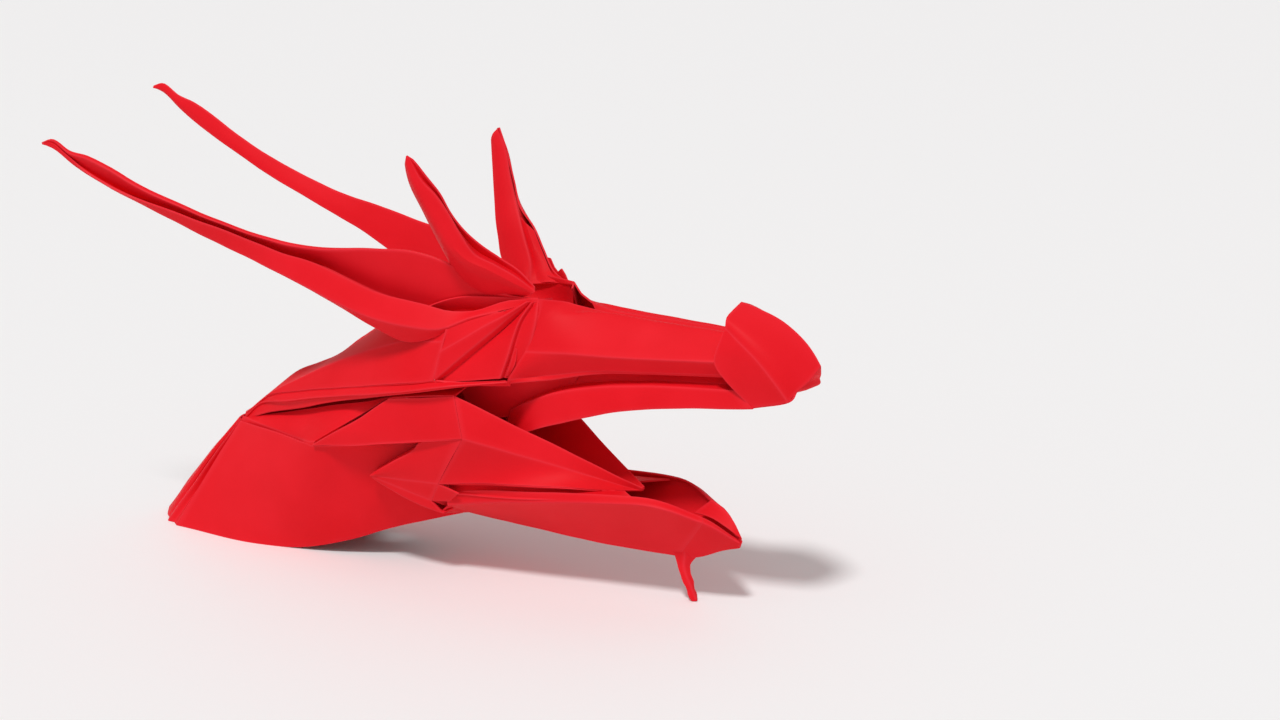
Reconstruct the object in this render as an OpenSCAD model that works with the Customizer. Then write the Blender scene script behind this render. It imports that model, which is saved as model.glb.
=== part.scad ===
// Dragon head folded from one square of red paper.
// The nose points along +X, the piece stands on z = 0 and y = 0 is the fold that halves it.
// A corner is a point [x, w, z], where w is the distance from the middle plane.
// A rail is a crease or an edge between corners, and paper lies between neighbouring rails.

/* [Paper] */
// Thickness of the folded layers
sheet_t = 0.5; // [0.4:0.05:0.7]

/* [Forehead] */
// Height of the two knots, where the creases of the head run together
knot_z = 57; // [54:0.5:60]
// Half the distance between the knots
knot_w = 7; // [6:0.5:8]
// Depth of the fold between the horns, below the knots
saddle_depth = 6; // [4:0.5:8]
// Height of the small crimped teeth over the left knot
teeth_h = 1.6; // [1:0.1:2.2]

/* [Brow] */
// Half the width of the head at the outer corners of the brow
brow_w = 16; // [14:0.5:18]
// Height of the outer corners of the brow
brow_z = 37.7; // [36:0.5:40]
// Depth of the shadowed recess under the brow
recess_depth = 4; // [3:0.5:5]
// Height of the doubled edge along the brow
hem_h = 1.4; // [1:0.1:2]

/* [Snout] */
// Length of the snout, from the knots to the collar of the nose
snout_len = 36; // [30:1:44]
// Half the width of the snout at the collar
snout_w = 7; // [6:0.5:8]
// Half the width of the narrow top of the snout
snout_top_w = 1.1; // [0.8:0.1:2]
// Height of the snout at the collar
snout_h = 13; // [11:0.5:15]
// Depth of the two pleats along the side of the snout
pleat_depth = 2.6; // [1.6:0.2:3.4]

/* [Nose] */
// Length from the collar to the tip of the nose
nose_len = 18; // [14:0.5:21]
// Height of the hood of the nose over the top of the snout
hood_rise = 5.4; // [3.6:0.2:6.6]
// Width of the collar behind the hood
collar_len = 6; // [3:0.5:7]

/* [Mouth] */
// Half the width of the head at the corners of the mouth
corner_w = 15; // [14:0.5:16.5]
// Height of the wings at the corners of the mouth
wing_h = 8; // [6:0.5:9.5]
// Length of the wings, from the corners of the mouth to the point of the tongue
wing_len = 30; // [26:1:34]

/* [Lower jaw] */
// Length of the jaw, from the throat to its tip
jaw_len = 59; // [52:1:66]
// Half the width of the jaw at its rim
jaw_w = 10; // [8.5:0.5:11]
// Height of the rim over the keel where the mouth is widest
jaw_h = 12.4; // [10:0.4:14]
// Height of the keel over the table
jaw_lift = 8.2; // [6:0.4:10]
// Thickness of the beard that reaches from the chin to the table
beard_d = 1.5; // [1:0.1:2.4]

/* [Neck] */
// Length of the neck, from the throat back to its foot
neck_len = 73; // [66:1:80]
// Half the spread of the neck where it stands on the table
neck_w = 10.5; // [9:0.5:12.5]
// Half the width of the neck at its widest, under the brow
shoulder_w = 13; // [11.5:0.5:14.5]
// Height of the nape, where the brow runs into the spine
nape_z = 23; // [20:0.5:26]
// Height of the crest between the horns
crest_z = 44; // [41:0.5:47]

/* [Horns] */
// Distance from the right knot back to the tip of its horn
right_horn_len = 104.4; // [85:0.6:120]
// Distance from the left knot back to the tip of its horn
left_horn_len = 107.4; // [85:0.6:120]
// Rise of the right horn from its knot to its tip
right_horn_rise = 22.4; // [15:0.2:32]
// Rise of the left horn from its knot to its tip
left_horn_rise = 28; // [15:0.2:32]
// Height of the inner wall of the right horn over its root
right_horn_wall = 6.2; // [0:0.2:7]
// Height of the inner wall of the left horn over its root
left_horn_wall = 0.4; // [0:0.2:7]
// Distance of the horn tips from the middle plane
horn_splay = 20; // [16:0.5:26]
// Height of a horn at its root, where it is widest
horn_h = 16; // [13:0.5:18]
// Sag of the horns between root and tip
horn_sag = 6.5; // [3:0.5:9]

/* [Ears] */
// Height of the ears over the knots
ear_h = 26.4; // [18:0.2:30]
// Distance that the ears lean back from the knots
ear_lean = 21.6; // [16:0.2:26]
// Distance of the ear tips from the middle plane
ear_splay = 15; // [12:0.5:18]
// How far the right ear stands open, from 0 to 1
right_ear_open = 1; // [0:0.1:1]
// How far the left ear stands open, from 0 to 1
left_ear_open = 0; // [0:0.1:1]

/* [Hidden] */
paper = [0.86, 0.10, 0.15];
below = 2;

// Corners on the middle plane
throat = [6.4, 0, jaw_lift + 2];
foot = [throat[0] - neck_len, 0, 0];
nape = [foot[0] + 20.2, 0, nape_z];
crest = [-14, 0, crest_z];
chin = [56.6, 0, jaw_lift];
jaw_tip = [throat[0] + jaw_len, 0, jaw_lift + 5];
tongue = [14.9 + wing_len, 0.4, jaw_lift + 12.6];
knot = [26.8, knot_w, knot_z];
forehead = [knot[0], 0, knot_z - saddle_depth];
collar = [knot[0] + snout_len, 0, knot_z - 3.5];
nose_tip = collar + [nose_len, 0, -4.9];

// Corners of each side
nape_side = nape + [0.6, 1, -0.4];
brow = [2, brow_w, brow_z];
brow_mid = brow + [7.3, -1.2, 1.7];
brow_front = brow + [20.5, -4, 4];
horn_root = [10.2, 13, 50.5];
shoulder = [-19.3, shoulder_w, nape_z + 0.5];
cheek_top = [-4, 9, 35.2];
mouth_top = [12.7, corner_w - 1, brow_z + 0.5];
mouth_low = [14.9, corner_w, brow_z + 0.5 - wing_h];
jaw_back = [8.8, jaw_w + 1, jaw_lift + 7];
rim_front = [48.6, 0.8 * jaw_w, jaw_lift + jaw_h - 0.4];

function unit(v) = v / max(norm(v), 0.000001);
function mix(a, b, k) = a + (b - a) * k;
function clamp(v, lo, hi) = max(lo, min(hi, v));
function total(v, i = 0) = i == len(v) - 1 ? v[i] : v[i] + total(v, i + 1);

// Rail of n cells from a to b, bowed by v at its middle
function bow(a, b, v, n) = [for (i = [0:n]) let (k = i / n) mix(a, b, k) + v * 4 * k * (1 - k)];
// Smooth curve through the points p, at the position u counted in points
function along(p, u) =
    let (i = clamp(floor(u), 0, len(p) - 2), t = u - i)
    let (b = p[i], c = p[i + 1])
    let (a = i > 0 ? p[i - 1] : 2 * b - c, d = i + 2 < len(p) ? p[i + 2] : 2 * c - b)
    b + ((c - a) * t + (2 * a - 5 * b + 4 * c - d) * t * t
        + (3 * b - a - 3 * c + d) * t * t * t) / 2;
// Rail of n cells on the smooth curve through the points p
function curve(p, n) = [for (i = [0:n]) along(p, i * (len(p) - 1) / n)];
// Smooth rail of n cells from a to b, moved off the straight line by the steps o
function through(a, b, o, n) = let (m = len(o) - 1) curve([for (i = [0:m]) mix(a, b, i / m) + o[i]], n);
// Rail at the share k of the way from rail a to rail b, moved by v
function blend(a, b, k, v = [0, 0, 0]) = [for (i = [0:len(a) - 1]) mix(a[i], b[i], k) + v];
// Rail halfway between two others, moved by v
function between(a, b, v = [0, 0, 0]) = blend(a, b, 0.5, v);

// Normal of the cell between rails i and i + 1 and stations j and j + 1
function cell_normal(r, i, j) =
    unit(cross(r[i + 1][j] + r[i + 1][j + 1] - r[i][j] - r[i][j + 1],
        r[i][j + 1] + r[i + 1][j + 1] - r[i][j] - r[i + 1][j]));
// Step from the middle of the paper to its face at one point, mitred over the creases
function face_step(f, i, j, n, m) =
    let (near = [for (a = [max(i - 1, 0):min(i, n - 1)], b = [max(j - 1, 0):min(j, m - 1)]) f[a][b]])
    let (v = unit(total(near)))
    v * sheet_t / 2 / max(0.5, min([for (a = near) a * v]));

// One cell of paper between four corners q, with the steps o to its faces
module cell(q, o) {
    hull() polyhedron([for (i = [0:3]) q[i] + o[i], for (i = [0:3]) q[i] - o[i]],
        [[0, 1, 2, 3], [7, 6, 5, 4], [0, 4, 5, 1], [1, 5, 6, 2], [2, 6, 7, 3], [3, 7, 4, 0]]);
}
// Paper through a list of rails with as many points each
module sheet(r) {
    n = len(r) - 1;
    m = len(r[0]) - 1;
    f = [for (i = [0:n - 1]) [for (j = [0:m - 1]) cell_normal(r, i, j)]];
    o = [for (i = [0:n]) [for (j = [0:m]) face_step(f, i, j, n, m)]];
    for (i = [0:n - 1], j = [0:m - 1])
        cell([r[i][j], r[i + 1][j], r[i + 1][j + 1], r[i][j + 1]],
            [o[i][j], o[i + 1][j], o[i + 1][j + 1], o[i][j + 1]]);
}
// The same on both sides of the middle plane
module both_sides() {
    children();
    mirror([0, 1, 0]) children();
}

// Flaps of the neck, which stand on the table
module neck() {
    n = 14;
    top = curve([nape + [1.6, 3, -0.2], mix(nape, shoulder, 0.5) + [0, 1.8, 0.2], shoulder + [0, -0.3, 0],
        shoulder + [10, -2.4, 2.2], shoulder + [20, -3.2, 3.4], shoulder + [29, -3, 4]], n);
    low = curve([foot + [9.6, neck_w - 2.1, -1], foot + [28.4, neck_w, -1], foot + [39.5, neck_w - 1.3, 0.4],
        foot + [50.5, neck_w - 3, 3.2], foot + [60.7, neck_w - 5.5, 6.8], throat], n);
    color(paper) both_sides() sheet([top, blend(top, low, 0.33, [0, 0.3, 0]),
        blend(top, low, 0.67, [0, 0.3, 0]), low]);
}
// Spine, the rounded edge down the back of the neck
module spine() {
    n = 6;
    down = foot - [0, 0, 1];
    color(paper) both_sides() sheet([
        bow(nape, down, [0, 0, 0.3], n),
        bow(nape + [0.6, 1.3, -0.3], down + [2.2, 4.4, 0], [0.4, 0, 0], n),
        bow(nape + [2.4, 2.6, -0.4], down + [9.6, neck_w - 2.9, 0], [0, 0.3, 0], n),
        bow(nape + [7, 4.2, -0.6], down + [15, neck_w - 2.4, 0], [0, 0, 0], n)]);
}
// Roof of the neck, from the crest down to the eave of the brow
module roof() {
    n = 8;
    ridge = bow(nape, crest, [0, 0, 0.8], n);
    eave = bow(nape_side, brow, [0, 0, 0.9], n);
    color(paper) both_sides() {
        sheet([ridge, between(ridge, eave, [0, 0, 0.3]), eave]);
        sheet([[crest, mix(crest, horn_root, 0.5), horn_root], [brow, brow, brow]]);
    }
}
// Doubled edge along the brow, with the recess behind it
module brow_hem() {
    line = concat(bow(nape_side, brow, [0, 0, 0.9], 8), [brow_mid, mix(brow_mid, brow_front, 0.5), brow_front]);
    color(paper) both_sides() sheet([
        [for (p = line) p + [0, 0.3, 0.5]],
        [for (p = line) p + [0, 0.5, 0.5 - hem_h]],
        [for (p = line) p + [0, -min(recess_depth, p[1] * 0.7), 0.3 - hem_h]]]);
}
// Pleated fan of the cheek, which spreads from the knot to the brow
module cheek_fan() {
    pleat = brow_mid + [0, 0.3, 0];
    side = knot + [1.2, -1, -1.6];
    color(paper) both_sides() {
        sheet([[horn_root, horn_root], [brow, pleat]]);
        sheet([[horn_root, knot], [pleat, pleat]]);
        sheet([[knot, knot], [brow_mid + [0, -0.8, 0], brow_front]]);
        sheet([[knot, side], [brow_front, brow_front + [2, -3.4, 0.6]]]);
    }
}
// Panels between the brow and the neck
module cheek_panels() {
    n = 5;
    m = 7;
    top = bow(cheek_top, mouth_top, [0.4, 0.5, 0], m);
    under = bow(shoulder, mouth_low, [0, 0.4, 0], m);
    color(paper) both_sides() {
        sheet([bow(nape + [1, 1, -0.6], cheek_top, [0, 0, 0.4], n),
            bow(nape + [1.4, 3, -0.2], shoulder, [0, 0, 0], n)]);
        sheet([top, blend(top, under, 0.33), blend(top, under, 0.67), under,
            bow(shoulder + [2.3, -2.2, 0.1], mouth_low + [-2, -5, -2.2], [0, 0, 0], m)]);
    }
}
// Small pocket that shows below the cheek
module pocket() {
    tip = shoulder + [11, -1.7, -5];
    middle = [8.5, 12.4, 19.7];
    top = [5.2, 13.3, 26.9];
    low = jaw_back + [-4, -0.7, -0.2];
    color(paper) both_sides() {
        sheet([[tip, mix(tip, middle, 0.5), middle],
            [mix(tip, top, 0.6), top, mouth_low + [-0.2, -0.2, -0.4]]]);
        sheet([[tip, middle], [mix(tip, low, 0.5) + [0, 0.1, -0.6], low]]);
    }
}
// Wings at the corners of the mouth, which meet in the point of the tongue
module mouth_wings() {
    n = 4;
    valley = [12, 0, jaw_lift + 13.5];
    color(paper) both_sides() sheet([
        bow(valley, tongue + [0, -0.4, -0.6], [0, 0, -1], n),
        bow(mouth_top, tongue, [0, 0, 0], n),
        bow(mouth_low, tongue + [0, 0, -0.5], [0, 0, 0], n),
        curve([[9.3, 11.8, jaw_lift + 11.6], [23, 8.2, jaw_lift + 12], [40.8, 4.2, jaw_lift + 12.6]], n)]);
}
// Lining of the cheek, the dark wall behind the corner of the mouth
module lining() {
    n = 4;
    color(paper) both_sides() sheet([
        bow(brow_mid + [0, -4.5, -0.6], [34, 4.6, 43], [0, 0, 0], n),
        bow([12, 9.5, 31], [29, 5, 34.5], [0, -1, 0], n)]);
}
// Edge of the top of the snout at the share t of its length: it closes in quickly from the knot
function snout_top(t) = [knot[0] + snout_len * t,
    lookup(t, [[0, knot_w], [0.1, 0.4 * knot_w + 0.4], [0.2, snout_top_w + 0.5], [0.35, snout_top_w]]),
    knot_z - lookup(t, [[0, 0], [0.1, 1], [0.2, 2.1], [0.35, 2.9], [1, 3.7]])];
// Snout with its two pleats along each side
module snout() {
    n = 8;
    d = pleat_depth;
    front = collar + [1, 0, 0];
    rear_2 = brow_front + [0, -0.2, -0.4];
    edge = [for (i = [0:n]) snout_top(i / n)];
    ridge_1 = curve([[25, 10, 49], [35.8, 8.5, 48.8], [45.1, 8, 49.1],
        front + [0.6, snout_w, 10.5 - snout_h]], n);
    color(paper) both_sides() sheet([
        curve([forehead + [-2, 0, 0], [33, 0, 53], [43, 0, 53.4], front + [-10, 0, -0.3],
            front + [0, 0, -0.6]], n),
        edge, between(edge, ridge_1), ridge_1,
        curve([[25.5, 9.5 - d, 47.8], [35.8, 8.5 - d, 48], [45.1, 8 - d, 48.4],
            front + [1, snout_w - 0.6 * d, 9.5 - snout_h]], n),
        curve([rear_2, [32.4, 9.2, 43.6], [42, 8.6, 45], front + [2.4, snout_w + 0.1, 7 - snout_h]], n),
        curve([[25, 6.5, 40.6], [33, 8 - d, 43], [42, 7.6 - d, 44.2],
            front + [3, snout_w - 0.6 * d, 6 - snout_h]], n),
        curve([[21.9, 6.7, 32.4], [25.4, 6.3, 37.4], [34.1, 6.3, 41], [43.6, 6.3, 43.1],
            front + [4, snout_w - 0.6, 5 - snout_h]], n),
        curve([[21.8, 7, 31], [31, 8.1, 35.2], [43, 7.8, 38.4],
            front + [7.4, snout_w - 0.2, 1.5 - snout_h]], n),
        curve([[24, 5, 32.4], [32, 6, 36.6], [43, 6, 39.8], front + [7.4, snout_w - 2, 2.7 - snout_h]], n),
        curve([[27, 0, 37], [34, 0, 39.5], [43, 0, 41.4], front + [8, 0, 3.4 - snout_h]], n)]);
}
// Collar and hood of the nose
module nose() {
    n = 6;
    w = snout_w;
    top = collar + [2.2, 0, hood_rise];
    corner = collar + [2.1, w - 0.8, 1.8];
    low = collar + [collar_len + 8.5, w - 0.6, -10.2];
    lip = nose_tip + [-1.9, 0, -4.2];
    back = curve([corner, collar + [0.6, w + 0.2, -2.1], collar + [0.4, w + 0.4, -4.6],
        collar + [2.6, w + 0.4, -7.4], collar + [collar_len + 1.6, w - 0.5, -12]], n);
    crease = bow(corner, low, [0.9, 1.2, 0.7], n);
    shoulder = bow(collar + [1.8, w - 2.6, hood_rise - 1.4], nose_tip + [-1.2, 2.6, -2.1], [0.8, 1.4, 0.9], n);
    ridge = bow(top, nose_tip, [1.7, 0, 1.4], n);
    color(paper) both_sides() {
        sheet([back, crease, between(crease, shoulder, [0, 0.5, 0.3]), shoulder, ridge]);
        sheet([[collar + [-0.4, 0, 0.2], collar + [2, 0, 1.6]], [back[1] + [0.4, -0.6, 0], corner]]);
        sheet([[nose_tip, nose_tip + [-1.4, 0, -2.4], lip, collar + [collar_len + 6, 0, -11.4],
            collar + [collar_len + 1.8, 0, -11.8]],
            [shoulder[n], nose_tip + [-1.5, 2.6, -3.2], lip + [-0.4, 2, -0.4], low, back[n]]]);
    }
}
// Lower jaw, a keeled trough with a folded rim
module jaw() {
    n = 8;
    d = jaw_h;
    color(paper) both_sides() {
        sheet([bow(throat - [1, 0, 0.1], chin, [0, 0, -0.3], n),
            curve([jaw_back, [24.1, jaw_w, jaw_lift + d - 3], rim_front], n),
            curve([jaw_back + [-1, -1.4, 3.6], [23, jaw_w - 2, jaw_lift + d - 0.6],
                rim_front + [-0.4, -1.6, 1]], n)]);
        sheet([[chin, mix(chin, jaw_tip, 0.5) + [0, 0, -0.7], jaw_tip + [-0.4, 0, -0.8]],
            [rim_front, [60.5, 0.5 * jaw_w, jaw_lift + 8.6], jaw_tip + [0, 0.5, 0]],
            [rim_front + [0, -1, 0.6], [60, 0.5 * jaw_w - 1.1, jaw_lift + 9.3], jaw_tip + [-1, 0.3, 0.7]]]);
    }
}
// Raised fold over the tip of the jaw, on the left side
module jaw_crimp() {
    back = [57.4, 0.45 * jaw_w, jaw_lift + 9.8];
    middle = mix(back, jaw_tip, 0.5);
    color(paper) sheet([[back + [0, -0.6, -2], middle + [0.4, -0.8, -0.6], jaw_tip + [-0.6, 0, -0.4]],
        [back + [1, 0, 1], middle + [1.2, 0.2, 0.8], jaw_tip + [0, 0.3, 0.9]]]);
}
// Beard, a thin twisted point that stands on the table
module beard() {
    widths = [2.3, 1.5, 1.4, 1.1, 0.9, 0.8];
    n = len(widths) - 1;
    line = [chin + [-2.1, 0, 1.2], chin + [-2.2, 0, -1.8], chin + [-1.7, 0, -3.4],
        chin + [-0.9, 0, -5.4], chin + [-0.1, 0, -7], [chin[0], 0, -1]];
    color(paper) for (i = [0:n - 1]) hull() for (j = [i, i + 1])
        translate(line[j]) rotate([0, 0, 12 * j])
            cube([beard_d * widths[j], beard_d * 0.7, 0.02], center = true);
}

// Middle line of a horn of length l, at the share k of the way from the knot back to its tip
function horn_axis(k, l, rise) =
    knot + [-l * k, (horn_splay - knot_w) * k, rise * k - 4 * horn_sag * k * (1 - k)];
// Shares of the length of a horn where its rails have points, closer together at the tip
function horn_steps() = concat([for (i = [0:22]) i / 23.4], [0.96, 0.978, 1]);
// Rail of a horn: distances outward and upward from its middle line, in shares of its height
function horn_rail(l, rise, out, up) =
    [for (k = horn_steps()) horn_axis(k, l, rise) + [0, lookup(k, out), lookup(k, up)] * horn_h];
// Horn, a trough that narrows from the knot to a crimped tip
module horn(l, rise, wall) {
    s = wall / horn_h;
    inner_out = [[0, 0], [0.15, 0.14], [0.25, 0.1], [0.38, 0.03], [0.53, 0.06], [1, 0]];
    inner_up = [[0, 0.03], [0.08, 0.03 + s / 2], [0.16, s], [0.23, 0.02 + s], [0.32, 0.18 + 0.4 * s],
        [0.38, 0.17 + 0.2 * s], [0.45, 0.17], [0.53, 0.13], [0.7, 0.12], [0.8, 0.14], [0.85, 0.18],
        [0.9, 0.18], [0.94, 0.12], [0.978, 0.13], [1, 0.01]];
    keel_out = [[0, 0], [0.1, 0.22], [0.16, 0.27], [0.25, 0.2], [0.33, 0.2], [0.45, 0.14],
        [0.53, 0.08], [1, 0]];
    keel_up = [[0, -0.06], [0.1, -0.26], [0.16, -0.4], [0.25, -0.62], [0.33, -0.46], [0.4, -0.34],
        [0.48, -0.22], [0.55, -0.16], [0.75, -0.1], [0.93, -0.02], [0.978, 0.03], [1, 0]];
    fold_out = [[0, 0], [0.1, 0.25], [0.16, 0.3], [0.25, 0.38], [0.38, 0.28], [0.53, 0.13],
        [0.66, 0.06], [1, 0]];
    fold_up = [[0, -0.03], [0.1, -0.2], [0.15, -0.34], [0.25, -0.36], [0.38, -0.28], [0.53, -0.17],
        [0.66, -0.12], [0.8, -0.07], [0.93, -0.01], [0.978, 0.05], [1, 0]];
    wall_out = [[0, 0], [0.1, 0.2], [0.25, 0.16], [0.38, 0.16], [0.53, 0.13], [1, 0]];
    wall_up = [[0, 0], [0.1, -0.16], [0.25, 0], [0.38, 0.08], [0.53, 0.06], [0.75, 0.04], [0.9, 0.06],
        [0.978, 0.09], [1, 0.01]];
    color(paper) sheet([horn_rail(l, rise, inner_out, inner_up), horn_rail(l, rise, keel_out, keel_up),
        horn_rail(l, rise, fold_out, fold_up), horn_rail(l, rise, wall_out, wall_up)]);
}
// Floor of the head between the horns
module saddle() {
    n = 6;
    low = bow(crest + [1, 0, 0.4], forehead, [0, 0, -1.6], n);
    high = curve([crest + [3, 3, 0.8], [0, 11.6, 51], [11, 9.6, 56], knot], n);
    color(paper) both_sides() sheet([low, between(low, high, [0, 0.6, -0.4]), high]);
}
// Ear, a narrow trough that opens forward, from its tip down to the knot
module ear(gap) {
    n = 10;
    tip = knot + [-ear_lean, ear_splay - knot_w, ear_h];
    side = mix(knot + [-1.6, 1.6, -1.2], knot, gap);
    root = mix(knot + [-8.8, 2, -2.2], knot + [-1, 0.2, 0.4], gap);
    shut_outer = [[0, 0, 0], [-0.9, 1.1, 0], [-2.6, 2.1, -1.5], [-3, 3.3, -2.2],
        [-3.2, 3.2, -1.4], [0, 0, 0]];
    wide_outer = [[0, 0, 0], [-1.1, 1.6, -0.4], [-1.8, 1.9, -1.7], [-2.6, 1.9, -1.5],
        [-1.9, 2, 0.4], [0, 0, 0]];
    shut_inner = [[0, 0, 0], [0.3, 0.5, 0.1], [0, 0.9, -0.3], [-0.6, 0.8, -0.2],
        [-1, 1.1, -0.4], [0, 0, 0]];
    wide_inner = [[0, 0, 0], [-0.5, 1, 0.2], [-0.8, 1, -1.2], [-1.6, 1.1, -0.7],
        [-1, 0.6, 1.4], [0, 0, 0]];
    outer = through(tip, side, mix(shut_outer, wide_outer, gap), n);
    back_root = mix(knot + [-17, 4.4, -1.8], knot + [-14.4, 4.6, -0.8], gap);
    back = bow(tip + [-1.3, 0.2, -0.4], back_root, [-0.3, 0.4, 0], n);
    inner = through(tip + [0.4, -0.2, 0], root, mix(shut_inner, wide_inner, gap), n);
    color(paper) sheet([outer, between(outer, back, [0, 0.7, -0.6]), back, inner]);
}
// Crimped ends of the layers beside the left ear, stepped down to the knot
module teeth() {
    steps = [0.1, 0.5, 0.4, 0, 0.9, 1, 0.1];
    n = len(steps) - 1;
    root = bow(knot + [-8, 5, 3], knot + [-1.8, 1.8, -1.2], [0, 0.4, 0], n);
    color(paper) sheet([root, [for (i = [0:n]) root[i] + [0.1, 0.2, 0.3 + teeth_h * steps[i]]]]);
}

module folded_head() {
    difference() {
        union() {
            teeth();
            mirror([0, 1, 0]) ear(right_ear_open);
            ear(left_ear_open);
            neck();
            spine();
            roof();
            brow_hem();
            cheek_fan();
            cheek_panels();
            pocket();
            mouth_wings();
            lining();
            snout();
            nose();
            jaw();
            jaw_crimp();
            beard();
            saddle();
            mirror([0, 1, 0]) horn(right_horn_len, right_horn_rise, right_horn_wall);
            horn(left_horn_len, left_horn_rise, left_horn_wall);
        }
        color(paper) translate([-2 * neck_len, -neck_len, -below]) cube([4 * neck_len, 2 * neck_len, below]);
    }
}

folded_head();
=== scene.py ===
"""Looks of the folded dragon head: thin red paper with soft folds, on a pale floor."""
import math

import bmesh
import bpy
import numpy as np
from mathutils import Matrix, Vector, noise


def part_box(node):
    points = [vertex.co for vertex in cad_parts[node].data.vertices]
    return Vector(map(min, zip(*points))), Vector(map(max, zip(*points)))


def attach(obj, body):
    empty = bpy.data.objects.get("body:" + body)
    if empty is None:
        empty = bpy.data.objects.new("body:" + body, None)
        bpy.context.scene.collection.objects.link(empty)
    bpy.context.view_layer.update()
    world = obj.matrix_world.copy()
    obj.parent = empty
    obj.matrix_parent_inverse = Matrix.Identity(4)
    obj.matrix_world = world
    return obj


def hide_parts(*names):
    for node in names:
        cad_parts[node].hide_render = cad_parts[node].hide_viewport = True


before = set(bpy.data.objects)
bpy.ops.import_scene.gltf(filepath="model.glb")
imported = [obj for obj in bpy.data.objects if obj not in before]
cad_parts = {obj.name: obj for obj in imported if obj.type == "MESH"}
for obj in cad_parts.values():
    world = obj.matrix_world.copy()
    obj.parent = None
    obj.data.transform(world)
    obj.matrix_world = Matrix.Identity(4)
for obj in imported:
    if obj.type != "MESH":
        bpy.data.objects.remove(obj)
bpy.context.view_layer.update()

# Sizes in millimetres. Those that the part's source has too are the same as there.
# The groove of the right horn and the hollows of the ears are only here.
HEAD_LENGTH = 161.68
KNOT_Z, KNOT_W, SADDLE_DEPTH, TEETH_H = 57.0, 7.0, 6.0, 1.6
BROW_W, BROW_Z, RECESS_DEPTH, HEM_H = 16.0, 37.7, 4.0, 1.4
SNOUT_LEN, SNOUT_W, SNOUT_TOP_W, SNOUT_H, PLEAT_DEPTH = 36.0, 7.0, 1.1, 13.0, 2.6
NOSE_LEN, HOOD_RISE, COLLAR_LEN = 18.0, 5.4, 6.0
CORNER_W, WING_H, WING_LEN = 15.0, 8.0, 30.0
JAW_LEN, JAW_W, JAW_H, JAW_LIFT, BEARD_D = 59.0, 10.0, 12.4, 8.2, 1.5
NECK_LEN, NECK_W, SHOULDER_W, NAPE_Z, CREST_Z = 73.0, 10.5, 13.0, 23.0, 44.0
HORN_SPLAY, HORN_H, HORN_SAG = 20.0, 16.0, 6.5
RIGHT_HORN_LEN, RIGHT_HORN_RISE, RIGHT_HORN_WALL, RIGHT_HORN_GROOVE = 104.4, 22.4, 6.2, 3.4
LEFT_HORN_LEN, LEFT_HORN_RISE = 107.4, 28.0
EAR_H, EAR_LEAN, EAR_SPLAY, RIGHT_EAR_DEEP, LEFT_EAR_DEEP = 26.4, 21.6, 15.0, 1.8, 5.2

# Paper
PAPER_T = 0.34
ROW_STEP = 1.6
CREASE_NEAR = 0.18
CREASE_FAR = 0.45
SHARP_ANGLE = math.radians(34)

# Waves of the paper: the length and height of the long ones and of the short ones, and their seed
WAVE_LONG, WAVE_HIGH = 17.0, 0.34
WAVE_SHORT, WAVE_LOW = 5.5, 0.09
WAVE_SEED = 7

# Camera at the photograph's angle: degrees, millimetres, and the lens in millimetres on a 36 mm film
VIEW_AZIMUTH, VIEW_ELEVATION, VIEW_DISTANCE = 27.0, 15.0, 471.7
VIEW_AIM = (41.44, 5.96, 43.77)
FILM_WIDTH, LENS = 36.0, 70.31

# Light: strength of the fill all round, energy and size in degrees of the key, and where it comes from
FILL, KEY, KEY_SIZE = 0.48, 1.85, 9.0
KEY_FROM = (0.1, -0.55, 1.0)
FLOOR_HALF = 8.0

# One millimetre of the design in metres, taken from the frame so that the looks follow its size
box_low, box_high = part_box("folded_head")
MM = (box_high.x - box_low.x) / HEAD_LENGTH


def v(*c):
    return np.array(c, float)


def mix(a, b, k):
    return a + (b - a) * k


def bow(a, b, o, n):
    """Rail of n cells from a to b, bowed by o at its middle."""
    k = np.linspace(0, 1, n + 1)[:, None]
    return a + (b - a) * k + np.array(o, float) * 4 * k * (1 - k)


def spline(p, u):
    """Points of the smooth curve through p at the places u, counted in points."""
    p = np.array(p, float)
    i = np.clip(np.floor(u).astype(int), 0, len(p) - 2)
    t = (u - i)[:, None]
    b, c = p[i], p[i + 1]
    a = np.where((i > 0)[:, None], p[np.maximum(i - 1, 0)], 2 * b - c)
    d = np.where((i + 2 < len(p))[:, None], p[np.minimum(i + 2, len(p) - 1)], 2 * c - b)
    return b + ((c - a) * t + (2 * a - 5 * b + 4 * c - d) * t**2 + (3 * b - a - 3 * c + d) * t**3) / 2


def curve(p, n):
    """Rail of n cells on the smooth curve through the points p."""
    return spline(p, np.linspace(0, len(p) - 1, n + 1))


def through(a, b, o, n):
    """Smooth rail from a to b, moved off the straight line by the steps o."""
    k = np.linspace(0, 1, len(o))[:, None]
    return curve(a + (b - a) * k + np.array(o, float), n)


def blend(a, b, k, o=(0, 0, 0)):
    return a + (b - a) * k + np.array(o, float)


def across(rails, u):
    """Points across a stretch of rails at the places u, one place for each station."""
    k = len(rails) - 1
    i = np.clip(np.floor(u).astype(int), 0, k - 1)
    t = (u - i)[:, None]
    j = np.arange(rails.shape[1])
    b, c = rails[i, j], rails[i + 1, j]
    a = np.where((i > 0)[:, None], rails[np.maximum(i - 1, 0), j], 2 * b - c)
    d = np.where((i + 2 <= k)[:, None], rails[np.minimum(i + 2, k), j], 2 * c - b)
    return b + ((c - a) * t + (2 * a - 5 * b + 4 * c - d) * t**2 + (3 * b - a - 3 * c + d) * t**3) / 2


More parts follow.
